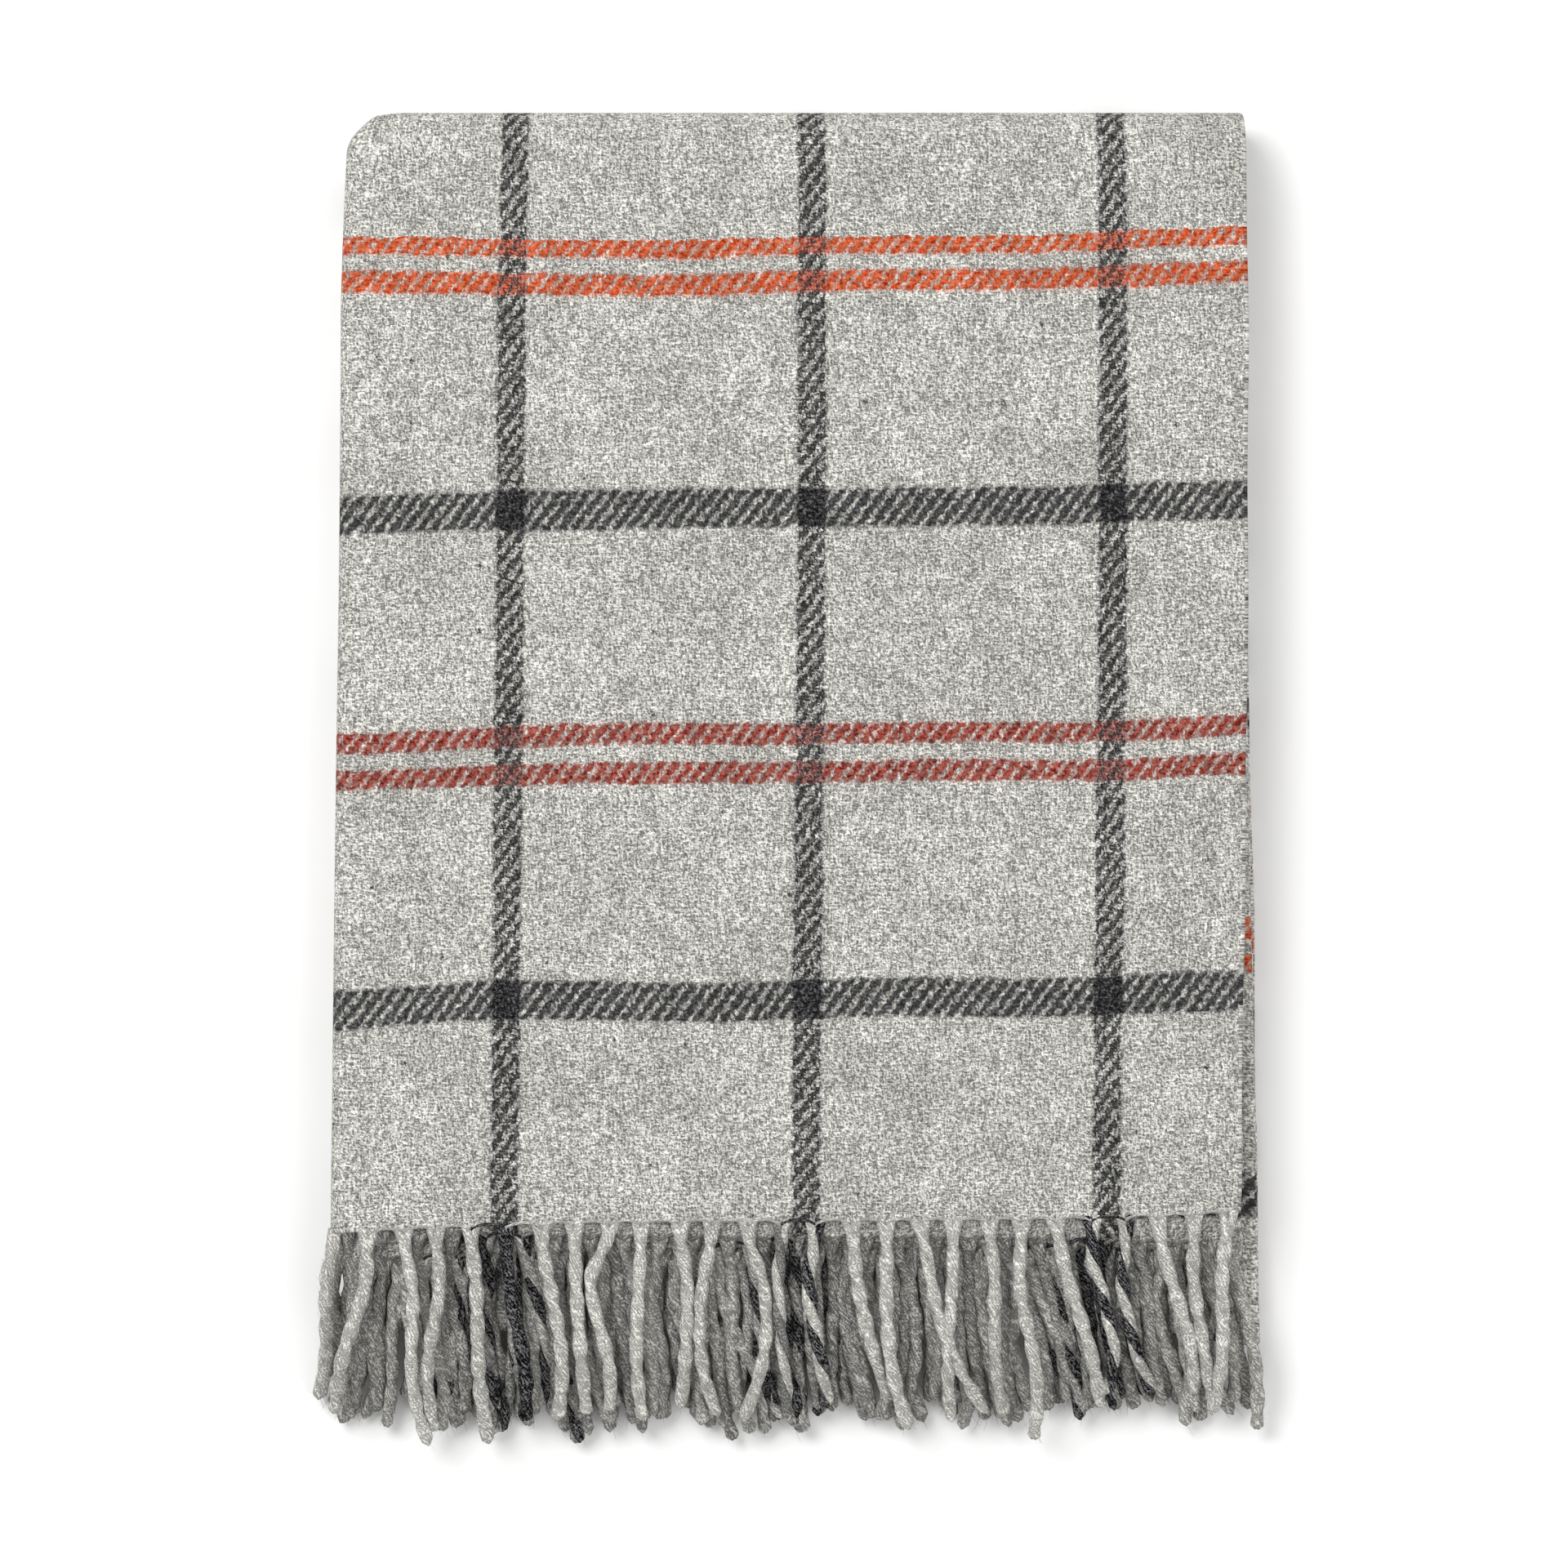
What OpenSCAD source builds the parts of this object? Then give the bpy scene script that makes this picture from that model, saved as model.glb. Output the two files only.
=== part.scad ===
// Folded throw blanket: one twill cloth with a twisted fringe at both ends, folded to sixteen plies.
// X runs across the bundle, the fringe points to -Y and +Z is up.
// The bundle lies flat on Z = 0, with the origin under the middle of its outline.
// The front half is the upper eight plies and the back half the lower eight. The top fold joins them.

/* [Bundle] */
// Width from the side folds to the free selvedges
bundle_w = 326; // [250:1:420]
// Length from the crown of the top fold to the hem
bundle_l = 400; // [300:1:520]
// Distance by which the back half reaches past the hem, under the fringe
back_over = 42; // [20:1:45]
// Angle at which the sides of the front half widen toward the hem, in degrees
front_flare = 0.3; // [0:0.1:0.6]
// Angle at which the sides of the back half lean to the right toward the hem, in degrees
back_lean = 1.1; // [0:0.1:1.2]

/* [Cloth] */
// Thickness of the raised woollen cloth
cloth_t = 2.1; // [1.6:0.1:2.6]
// Air between two plies
ply_gap = 0.1; // [0.05:0.05:0.2]
// Air between the front half and the back half
half_gap = 0.5; // [0.4:0.1:1]
// Thickness of the cord that the weft makes at a free selvedge
selvedge_d = 2.1; // [1.2:0.1:2.1]

/* [Fringe] */
// Distance between neighbouring strands of one ply
strand_pitch = 12.35; // [12:0.05:14]
// Diameter of a twisted strand
strand_d = 4.4; // [3:0.1:4.6]
// Mean length of a strand
strand_l = 86; // [78:1:96]
// Share by which single strands are longer or shorter than the mean
strand_spread = 0.05; // [0:0.01:0.08]
// Sideways turn of the outermost strands, in degrees
strand_splay = 9; // [0:1:12]

/* [Hidden] */
$fn = 48;

// Plies in each half
plies = 8;
ply_pitch = cloth_t + ply_gap;
half_h = plies * cloth_t + (plies - 1) * ply_gap;
mid_z = half_h + half_gap / 2;
top_z = 2 * half_h + half_gap;

// Radii of the outermost fold of each nest, out to the face of the cloth
top_fold_r = top_z / 2;
left_fold_r = half_h / 2;
right_fold_r = (half_h / 2 - ply_gap / 2) / 2;

// Gap that keeps the front half clear of the top fold
fold_clear = 0.3;

// Fringe: each row starts a step further across, so that the strands of neighbouring rows lie side by side
row_step = 4.5;
strand_r = strand_d / 2;

// The strands lie on the back half as far as it reaches, then bend down and fall to the ground
level_run = back_over + 1.5;
knuckle_r = strand_r + 0.2;
longest = strand_l * (1 + strand_spread);
floor_gap = 0.5;
lowest_row_z = half_h + fold_clear + strand_r;
strand_drop = (top_z - strand_r - lowest_row_z) / (plies - 1);
droop = asin((lowest_row_z - strand_r - floor_gap) / (longest - strand_r - level_run));
golden_turn = 137.5;

function ply_z(k) = top_z - cloth_t / 2 - (k - 1) * ply_pitch;
function strand_z(k) = top_z - strand_r - (k - 1) * strand_drop;
function row_shift(k) = (k - 1) * row_step - strand_pitch * floor((k - 1) * row_step / strand_pitch);
function root_x(k, i) = -bundle_w / 2 + strand_r + row_shift(k) + i * strand_pitch;
function row_count(k) = floor((bundle_w - strand_d - row_shift(k)) / strand_pitch) + 1;
function length_of(k, i) = strand_l * (1 + strand_spread * sin(golden_turn * (i + 5 * k)));
function splay_at(x) = strand_splay * pow(2 * x / bundle_w, 3);
function fall_of(k, i) = length_of(k, i) - strand_r - level_run;
function plan_run(k, i) = level_run + fall_of(k, i) * cos(droop);
function tip_x(k, i) = root_x(k, i) + plan_run(k, i) * sin(splay_at(root_x(k, i)));
function tip_reach(k, i) = plan_run(k, i) * cos(splay_at(root_x(k, i))) + strand_r;

// The outline's extremes, from which the frame is centred
fringe_reach = max([for (k = [1:plies]) for (i = [0:row_count(k) - 1]) tip_reach(k, i)]);
fringe_left = min([for (k = [1:plies]) tip_x(k, 0)]) - strand_r;
fringe_right = max([for (k = [1:plies]) tip_x(k, row_count(k) - 1)]) + strand_r;
shift_x = -(fringe_left + fringe_right) / 2;
crown_y = (bundle_l + fringe_reach) / 2;
hem_y = crown_y - bundle_l;
back_end_y = hem_y - back_over;
fold_y = crown_y - top_fold_r;
flat_l = fold_y - hem_y;
back_flat_l = fold_y - back_end_y;

// Fold lines at the level of the top fold
left_x = -bundle_w / 2 + left_fold_r + shift_x;
right_x = bundle_w / 2 + shift_x;
end_fold_r = cloth_t + ply_gap / 2;
back_run = back_flat_l - end_fold_r;
back_shear = back_run * tan(back_lean);

// Plies whose right edge is a free selvedge lie on the outside of each half
free_plies = 4;
function right_inset(k) = k <= free_plies ? selvedge_d : right_fold_r;

// One flat ply between two distances from the top fold. Its sides turn about the ends of the fold line.
module ply_slab(z, start, end, inset, left_lean, right_lean) {
    right = right_x - inset;
    translate([0, fold_y, z - cloth_t / 2])
        linear_extrude(cloth_t)
            polygon([
                [left_x + start * tan(left_lean), -start],
                [right + start * tan(right_lean), -start],
                [right + end * tan(right_lean), -end],
                [left_x + end * tan(left_lean), -end]
            ]);
}

module front_ply(k) {
    color("gainsboro")
        ply_slab(ply_z(k), fold_clear, flat_l, right_inset(k), -front_flare, 0);
}

// Back plies are counted from the ground up. Their lower ends turn up or down in the end folds.
module back_ply(k) {
    color("silver")
        ply_slab(top_z - ply_z(k), 0, back_run, right_inset(k), back_lean, back_lean);
}

// Cross section of nested half rings that open toward -X, from radius r_out inward
module half_rings(r_out, count) {
    for (n = [0:count - 1])
        difference() {
            circle(r_out - n * ply_pitch);
            circle(r_out - n * ply_pitch - cloth_t);
            translate([-r_out - 1, -r_out - 1])
                square([r_out + 1, 2 * r_out + 2]);
        }
}

// A nest of side folds that starts just below the fold line at x and ends at a distance from it
module side_folds(x, z, end, lean, side, r_out, count) {
    translate([x, fold_y, z])
        rotate([0, 0, lean])
            mirror([side < 0 ? 1 : 0, 0, 0])
                rotate([90, 0, 0])
                    translate([0, 0, fold_clear])
                        linear_extrude(end - fold_clear)
                            half_rings(r_out, count);
}

module front_left_folds() {
    color("lightgray")
        side_folds(left_x, top_z - half_h / 2, flat_l, -front_flare, -1, left_fold_r, 4);
}

module front_right_folds() {
    color("lightgray")
        side_folds(right_x - right_fold_r, mid_z + half_gap / 2 + right_fold_r, flat_l, 0, 1,
                   right_fold_r, 2);
}

module back_left_folds() {
    color("darkgray")
        side_folds(left_x, half_h / 2, back_run, back_lean, -1, left_fold_r, 4);
}

module back_right_folds() {
    color("darkgray")
        side_folds(right_x - right_fold_r, mid_z - half_gap / 2 - right_fold_r, back_run, back_lean, 1,
                   right_fold_r, 2);
}

// The last fold made: all eight plies of the front half turn over into the back half
module top_fold() {
    color("whitesmoke")
        translate([left_x, fold_y, mid_z])
            rotate([90, 0, 90])
                linear_extrude(right_x - left_x)
                    half_rings(top_fold_r, plies);
}

// The cloth was first folded end to end, so the back plies turn into one another in pairs
module end_folds() {
    color("darkgray")
        for (pair = [0:plies / 2 - 1])
            translate([left_x + back_shear, back_end_y + end_fold_r, end_fold_r + pair * 2 * ply_pitch])
                rotate([90, 0, 90])
                    linear_extrude(right_x - right_fold_r - left_x)
                        mirror([1, 0, 0])
                            half_rings(end_fold_r, 1);
}

// The cord along one free edge, from just below the fold line to a distance from it
module selvedge(z, end, lean) {
    translate([right_x - selvedge_d + selvedge_d / 2 / cos(lean), fold_y, z])
        rotate([90, 0, lean])
            translate([0, 0, fold_clear])
                cylinder(h = end - fold_clear, d = selvedge_d);
}

module front_selvedges() {
    color("white")
        for (k = [1:free_plies])
            selvedge(ply_z(k), flat_l, 0);
}

module back_selvedges() {
    color("white")
        for (k = [1:free_plies])
            selvedge(top_z - ply_z(k), back_run, back_lean);
}

// One strand along -Y from its root: a level run, a knuckle where it bends, then a fall to a round tip
module strand(fall) {
    rotate([90, 0, 0])
        translate([0, 0, -strand_d])
            cylinder(h = level_run + strand_d, r = strand_r);
    translate([0, -level_run, 0]) {
        sphere(knuckle_r);
        rotate([90 + droop, 0, 0]) {
            cylinder(h = fall, r = strand_r);
            translate([0, 0, fall])
                sphere(strand_r);
        }
    }
}

// The roots are trimmed at the hem
module fringe_row(k) {
    color("silver")
        difference() {
            for (i = [0:row_count(k) - 1])
                translate([root_x(k, i) + shift_x, hem_y, strand_z(k)])
                    rotate([0, 0, splay_at(root_x(k, i))])
                        strand(fall_of(k, i));
            translate([-bundle_w, hem_y, 0])
                cube([2 * bundle_w, 4 * strand_d, top_z + strand_d]);
        }
}

front_ply(1);  // front_ply_1
front_ply(2);  // front_ply_2
front_ply(3);  // front_ply_3
front_ply(4);  // front_ply_4
front_ply(5);  // front_ply_5
front_ply(6);  // front_ply_6
front_ply(7);  // front_ply_7
front_ply(8);  // front_ply_8
back_ply(1);  // back_ply_1
back_ply(2);  // back_ply_2
back_ply(3);  // back_ply_3
back_ply(4);  // back_ply_4
back_ply(5);  // back_ply_5
back_ply(6);  // back_ply_6
back_ply(7);  // back_ply_7
back_ply(8);  // back_ply_8
front_left_folds();
front_right_folds();
back_left_folds();
back_right_folds();
top_fold();
end_folds();
front_selvedges();
back_selvedges();
fringe_row(1);  // fringe_row_1
fringe_row(2);  // fringe_row_2
fringe_row(3);  // fringe_row_3
fringe_row(4);  // fringe_row_4
fringe_row(5);  // fringe_row_5
fringe_row(6);  // fringe_row_6
fringe_row(7);  // fringe_row_7
fringe_row(8);  // fringe_row_8
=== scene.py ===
"""Folded wool throw: one twill cloth in sixteen plies with twisted fringes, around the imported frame."""

import math

import bpy
import numpy as np
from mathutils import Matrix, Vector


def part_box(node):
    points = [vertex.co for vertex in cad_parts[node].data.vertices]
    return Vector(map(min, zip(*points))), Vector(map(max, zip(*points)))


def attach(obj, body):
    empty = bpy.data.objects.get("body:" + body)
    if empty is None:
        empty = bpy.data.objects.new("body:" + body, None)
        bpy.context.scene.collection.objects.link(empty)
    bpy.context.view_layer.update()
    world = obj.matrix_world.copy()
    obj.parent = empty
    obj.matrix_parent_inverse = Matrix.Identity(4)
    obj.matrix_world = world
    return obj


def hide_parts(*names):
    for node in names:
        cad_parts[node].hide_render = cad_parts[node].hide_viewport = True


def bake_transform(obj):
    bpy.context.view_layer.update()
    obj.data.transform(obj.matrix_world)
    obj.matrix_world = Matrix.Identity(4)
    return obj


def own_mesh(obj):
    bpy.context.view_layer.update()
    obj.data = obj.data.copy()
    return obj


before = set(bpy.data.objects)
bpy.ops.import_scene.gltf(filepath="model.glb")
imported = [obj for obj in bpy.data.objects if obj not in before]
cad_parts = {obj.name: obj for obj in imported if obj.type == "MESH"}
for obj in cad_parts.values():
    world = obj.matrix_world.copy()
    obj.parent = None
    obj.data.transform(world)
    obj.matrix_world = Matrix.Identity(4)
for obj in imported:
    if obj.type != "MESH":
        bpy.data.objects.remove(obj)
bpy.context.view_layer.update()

rng = np.random.default_rng(11)
MM = 0.001

# ---------------------------------------------------------------- sizes, all from the frame


def corners(*nodes):
    """Lowest and highest corner of these CAD nodes together."""
    boxes = [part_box(n) for n in nodes]
    return np.min([b[0] for b in boxes], axis=0), np.max([b[1] for b in boxes], axis=0)


def middle_z(node):
    low, high = corners(node)
    return (low[2] + high[2]) / 2


PLIES = 8
FOLD_LOW, FOLD_HIGH = corners("top_fold")
MID_Z = middle_z("top_fold")
TOP_Z = FOLD_HIGH[2]
FOLD_Y = FOLD_LOW[1]
HEIGHT = {p: middle_z(f"front_ply_{p}") - MID_Z for p in range(1, PLIES + 1)}
PITCH = HEIGHT[1] - HEIGHT[2]
HEM_Y = corners("front_ply_1")[0][1]
BACK_Y = corners("end_folds")[0][1]
LEFT_X, RIGHT_X = FOLD_LOW[0], FOLD_HIGH[0]
RIGHT_FOLD_X = corners("front_right_folds")[0][0]
BACK_LEFT_X = corners("end_folds")[0][0] - 5 * MM
MID_X = (LEFT_X + RIGHT_X) / 2
END_RADIUS = PITCH / 2
BACK_END_Y = BACK_Y + PITCH
BACK_TOP_Z = corners("back_ply_8")[1][2]
FLAT = FOLD_Y - HEM_Y
BACK_FLAT = FOLD_Y - BACK_END_Y

THICKNESS = 0.93 * PITCH
OUTER_FOLD = math.pi * HEIGHT[1]
INNER_FOLD = 18.5 * MM

# Yarn layout of the cloth, measured from its first selvedge and its first hem
END_PITCH, PICK_PITCH = 1.27 * MM, 1.69 * MM
WARP_STRIPES = {"first": 47.6 * MM, "pitch": 108 * MM, "width": 10.3 * MM}
WEFT_PERIOD = 354 * MM
WEFT_CHARCOAL = [(79 * MM, 14.3 * MM), (256 * MM, 14.3 * MM)]
WEFT_RUST = [(160.7 * MM, 7.4 * MM), (174.3 * MM, 7.4 * MM)]
WEFT_ORANGE = [(337.7 * MM, 7.6 * MM), (351.3 * MM, 7.6 * MM)]
STRAND_PITCH = 12.35 * MM


def smooth(t):
    t = np.clip(t, 0, 1)
    return t * t * (3 - 2 * t)


def waves(seed, count, longest, shortest):
    """A smooth random function of x and y, about -1 to 1, made of plane waves of these lengths."""
    r = np.random.default_rng(seed)
    lengths = np.exp(r.uniform(np.log(shortest), np.log(longest), count))
    turns = r.uniform(0, 2 * math.pi, count)
    phases = r.uniform(0, 2 * math.pi, count)
    kx, ky = 2 * math.pi * np.cos(turns) / lengths, 2 * math.pi * np.sin(turns) / lengths

    def at(x, y):
        return sum(np.sin(a * x + b * y + c) for a, b, c in zip(kx, ky, phases)) / math.sqrt(count)

    return at


# ---------------------------------------------------------------- meshes


def make_object(name, points, faces, uv=None, values=None, material=None):
    """A smooth mesh. uv holds a pair for each face corner, and values holds numbers for each point."""
    mesh = bpy.data.meshes.new(name)
    mesh.from_pydata(points, [], faces)
    mesh.polygons.foreach_set("use_smooth", np.ones(len(mesh.polygons), bool))
    if uv is not None:
        layer = mesh.uv_layers.new(name="yarn")
        layer.data.foreach_set("uv", np.asarray(uv, np.float32).ravel())
    for key, numbers in (values or {}).items():
        attribute = mesh.attributes.new(key, "FLOAT", "POINT")
        attribute.data.foreach_set("value", np.asarray(numbers, np.float32))
    mesh.update()
    made = bpy.data.objects.new(name, mesh)
    bpy.context.scene.collection.objects.link(made)
    if material is not None:
        mesh.materials.append(material)
    return made


# ---------------------------------------------------------------- the cloth

# Order of the plies from the first selvedge to the second, in the two layers of the end-to-end fold
LAYER_A, LAYER_B = (1, 8, 5, 4), (2, 7, 6, 3)
FLAT_COLUMNS, BEND_COLUMNS = 34, 10
FLAT_ROWS, FOLD_ROWS, END_ROWS = 40, 16, 6

# Inner plies need less cloth to turn the top fold, so their hems reach further down than the first's
HEM_REACH = dict(zip(range(1, PLIES + 1), np.array([0, 6.0, 8.5, 10.5, 12.0, 13.5, 14.5, 15.5]) * MM))
WEFT_TILT, RIGHT_CURL = 0.5 * MM, 2.8 * MM
LEFT_CURL_TOP, LEFT_CURL_HEM = 0.5 * MM, 3.6 * MM
HEM_SAG, SAG_RUN = 5.0 * MM, 14 * MM
BACK_DROOP = 6 * MM
FRONT_OFFSET = 2.3 * MM
FRONT_LEAN = 0.0055
LEFT_FLARE, RIGHT_FLARE = 1.1 * MM, 0.8 * MM
BACK_OFFSET, BACK_LEAN = 1.4 * MM, 0.0192
TOP_TAPER, TAPER_LENGTH = 3.2 * MM, 75 * MM
CORNER_RADIUS = 15 * MM
RIPPLE_HEIGHT = 0.6 * MM
RIGHT_BULGE, LEFT_WANDER, RIM_WANDER = 1.3 * MM, 0.7 * MM, 0.6 * MM
RIM_COLUMNS = 9

ripple = waves(3, 9, 0.26, 0.07)
left_wander = waves(5, 4, 0.30, 0.09)


def cross_section(order):
    """Along one layer, from selvedge to selvedge: x, height over the middle and reach of the hem."""
    x, height, reach = [], [], []
    for n, ply in enumerate(order):
        right = RIGHT_X if n in (0, 3) else RIGHT_FOLD_X
        ends = (right, LEFT_X) if n % 2 == 0 else (LEFT_X, right)
        x.extend(np.linspace(*ends, FLAT_COLUMNS + 1))
        height.extend([HEIGHT[ply]] * (FLAT_COLUMNS + 1))
        reach.extend([HEM_REACH[ply]] * (FLAT_COLUMNS + 1))
        if n == 3:
            break
        turned = np.linspace(0, 1, BEND_COLUMNS + 1)[1:-1]
        more = HEM_REACH[order[n + 1]] - HEM_REACH[ply]
        reach.extend(HEM_REACH[ply] + more * smooth((turned - 0.45) / 0.55))
        radius = (HEIGHT[ply] - HEIGHT[order[n + 1]]) / 2
        side = -1 if n % 2 == 0 else 1
        for turn in turned * math.pi:
            x.append(ends[1] + side * abs(radius) * math.sin(turn))
            height.append(HEIGHT[ply] - radius + radius * math.cos(turn))
    return np.array(x), np.array(height), np.array(reach)


def along(x, height):
    return np.concatenate([[0], np.cumsum(np.hypot(np.diff(x), np.diff(height)))])


XA, HA, REACH_A = cross_section(LAYER_A)
XB, HB, REACH_B = cross_section(LAYER_B)
ACROSS = (along(XA, HA) + along(XB, HB)) / 2
COLUMNS = len(ACROSS)
SPAN = FLAT_COLUMNS + BEND_COLUMNS
# Cloth taken up by the top fold, column by column: most in the outer plies, least in the inner ones
TAKE_UP = np.interp(
    np.arange(COLUMNS),
    [0, FLAT_COLUMNS - 10, SPAN + 4, COLUMNS - 1],
    [OUTER_FOLD, OUTER_FOLD, INNER_FOLD, INNER_FOLD],
)
END_TURN = math.pi * END_RADIUS
CLOTH_WIDTH = ACROSS[-1]


def weft_rise(x, at_hem):
    """Rise of a weft line over its mean: it curls up to the right and, near the hem, down to the left."""
    t = (x - MID_X) / (RIGHT_X - MID_X)
    left_curl = LEFT_CURL_HEM if at_hem else LEFT_CURL_TOP
    return WEFT_TILT * t + RIGHT_CURL * np.maximum(t, 0) ** 3 - left_curl * np.maximum(-t, 0) ** 3


def cloth_rows():
    """Rows of the middle surface from hem to hem.

    Each is x, y, z, the length along the cloth and the share of the front half's motion, by column.
    """
    rows = []
    ones = np.ones(COLUMNS)
    hem_a, hem_b = weft_rise(XA, True) - REACH_A, weft_rise(XB, True) + REACH_B
    top_a, top_b = weft_rise(XA, False) - REACH_A, weft_rise(XB, False) + REACH_B
    start = FLAT - top_a
    for t in np.linspace(0, 1, FLAT_ROWS + 1):
        rows.append((XA, HEM_Y + hem_a + t * (FLAT - hem_a), MID_Z + HA, t * start, ones))
    for t in np.linspace(0, 1, FOLD_ROWS + 1)[1:-1]:
        turn = t * math.pi
        y = FOLD_Y + HA * math.sin(turn)
        rows.append((XA, y, MID_Z + HA * math.cos(turn), start + t * TAKE_UP, (1 - t) * ones))
    start = start + TAKE_UP
    for t in np.linspace(0, 1, FLAT_ROWS + 1):
        y = FOLD_Y - t * BACK_FLAT * ones
        rows.append((XA, y, MID_Z - HA, start + t * BACK_FLAT, 0 * ones))
    start = start + BACK_FLAT
    gap = np.hypot(XA - XB, HA - HB) / 2
    for t in np.linspace(0, 1, END_ROWS + 1)[1:-1]:
        turn = t * math.pi
        x = (XA + XB) / 2 + (XA - XB) / 2 * math.cos(turn)
        height = (HA + HB) / 2 + (HA - HB) / 2 * math.cos(turn)
        y = BACK_END_Y - gap * math.sin(turn)
        rows.append((x, y, MID_Z - height, start + t * END_TURN, 0 * ones))
    start = start + END_TURN
    for t in np.linspace(0, 1, FLAT_ROWS + 1):
        y = BACK_END_Y + t * BACK_FLAT * ones
        rows.append((XB, y, MID_Z - HB, start + t * BACK_FLAT, 0 * ones))
    start = start + BACK_FLAT
    take_up = OUTER_FOLD + INNER_FOLD - TAKE_UP
    for t in np.linspace(0, 1, FOLD_ROWS + 1)[1:-1]:
        turn = (1 - t) * math.pi
        y = FOLD_Y + HB * math.sin(turn)
        rows.append((XB, y, MID_Z + HB * math.cos(turn), start + t * take_up, t * ones))
    start = start + take_up
    for t in np.linspace(0, 1, FLAT_ROWS + 1):
        y = FOLD_Y - t * (FLAT + hem_b)
        rows.append((XB, y, MID_Z + HB, start + t * (FLAT + top_b), ones))
    return [np.array(part) for part in zip(*rows)]


def settle(x, y, z, front):
    """Moves points of the ideal bundle to where the soft, slightly skewed real one lies."""
    below = np.maximum(FOLD_Y - y, 0)
    share = below / FLAT
    to_left = np.clip((RIGHT_X - x) / (RIGHT_X - LEFT_X), 0, 1.05)
    flare = RIGHT_FLARE * (1 - to_left) - LEFT_FLARE * to_left
    front_lean = FRONT_OFFSET - FRONT_LEAN * below + flare * share
    lean = front * front_lean + (1 - front) * (BACK_OFFSET + BACK_LEAN * below)
    near_top = np.clip(1 - (FOLD_Y + HEIGHT[1] - y) / TAPER_LENGTH, 0, 1)
    lean = lean + TOP_TAPER * near_top**1.5 * smooth((to_left - 0.7) / 0.3)
    bulge = front * RIGHT_BULGE * np.sin(math.pi * np.clip(share * 1.35, 0, 1)) * (1 - to_left)
    wander = LEFT_WANDER * left_wander(0 * x, y) * smooth((to_left - 0.9) / 0.1)
    corner_x = LEFT_X - (HEIGHT[1] - HEIGHT[8]) / 2 + CORNER_RADIUS
    corner_y = FOLD_Y + HEIGHT[1] - CORNER_RADIUS
    a = np.clip((corner_x - x) / CORNER_RADIUS, 0, 1)
    b = np.clip((y - corner_y) / CORNER_RADIUS, 0, 1)
    round_x = CORNER_RADIUS * a * (1 - np.sqrt(1 - b * b / 2))
    round_y = -CORNER_RADIUS * b * (1 - np.sqrt(1 - a * a / 2))
    lift = RIPPLE_HEIGHT * ripple(x, y) * z / TOP_Z
    beyond = smooth((HEM_Y + weft_rise(x, True) + 1.5 * MM - y) / SAG_RUN)
    lowest, second = MID_Z + HEIGHT[8], MID_Z + HEIGHT[2]
    lift = lift - front * HEM_SAG * beyond * np.clip((z - lowest) / (second - lowest), 0, 1)
    back_corner = smooth((x - RIGHT_X + 50 * MM) / (55 * MM)) * smooth((share - 0.95) / 0.18)
    round_y = round_y - (1 - front) * BACK_DROOP * back_corner
    return x + lean + bulge + wander + round_x, y + round_y, z + lift


def edge_offsets(rows_y):
    """Sideways offsets of the free selvedges and of the right fold, which never line up exactly."""
    offsets = np.zeros((len(rows_y), COLUMNS))
    right_fold = SPAN + FLAT_COLUMNS + BEND_COLUMNS // 2
    rims = [(0, 21, 0.0), (COLUMNS - 1, 22, -1.0 * MM), (right_fold, 23, -0.2 * MM)]
    for n, (column, seed, mean) in enumerate(rims):
        wander = waves(seed, 4, 0.25, 0.06)
        distance = np.abs(np.arange(COLUMNS) - column)
        width = RIM_COLUMNS + (BEND_COLUMNS // 2 if column == right_fold else 0)
        weight = smooth(1 - distance / width)
        offsets += weight[None, :] * (mean + RIM_WANDER * wander(0 * rows_y, rows_y + 0.5 * n))
    return offsets


def cloth_surface():
    x, y, z, length, front = cloth_rows()
    x = x + edge_offsets(y) * np.clip((FOLD_Y - y) / 0.05, 0, 1)
    x, y, z = settle(x, y, z, front)
    return np.stack([x, y, z], axis=-1), length, front


def surface_normals(points):
    du = np.gradient(points, axis=1)
    dv = np.gradient(points, axis=0)
    normals = np.cross(dv, du)
    return normals / np.maximum(np.linalg.norm(normals, axis=-1, keepdims=True), 1e-12)


def closed_sheet(points, normals, uv, values, thickness):
    """Points and faces of a sheet of this thickness with rounded rims, from its middle surface."""
    rows, columns = points.shape[:2]
    grid = np.arange(rows * columns).reshape(rows, columns)
    flat = points.reshape(-1, 3)
    offset = normals.reshape(-1, 3) * thickness / 2
    uv, values = uv.reshape(-1, 2), values.reshape(-1)
    loop = np.concatenate([grid[0, :-1], grid[:-1, -1], grid[-1, :0:-1], grid[:0:-1, 0]])
    inner = np.clip(np.stack(np.unravel_index(loop, grid.shape), 1), 1, [rows - 2, columns - 2])
    outward = flat[loop] - flat[grid[inner[:, 0], inner[:, 1]]]
    outward /= np.linalg.norm(outward, axis=1, keepdims=True)
    all_points = [flat + offset, flat - offset]
    all_uv, all_values = [uv, uv], [values, values]
    rims = [loop]
    count = 2 * len(flat)
    for turn in (0.25 * math.pi, 0.5 * math.pi, 0.75 * math.pi):
        all_points.append(
            flat[loop] + offset[loop] * math.cos(turn) + outward * math.sin(turn) * thickness / 2
        )
        all_uv.append(uv[loop])
        all_values.append(values[loop])
        rims.append(np.arange(count, count + len(loop)))
        count += len(loop)
    rims.append(loop + len(flat))
    top = np.stack([grid[:-1, :-1], grid[1:, :-1], grid[1:, 1:], grid[:-1, 1:]], -1).reshape(-1, 4)
    bottom = top[:, ::-1] + len(flat)
    faces = [top, bottom]
    for a, b in zip(rims, rims[1:]):
        faces.append(np.stack([a, np.roll(a, -1), np.roll(b, -1), b], -1))
    faces = np.concatenate(faces)
    return np.concatenate(all_points), faces, np.concatenate(all_uv), np.concatenate(all_values)


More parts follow.
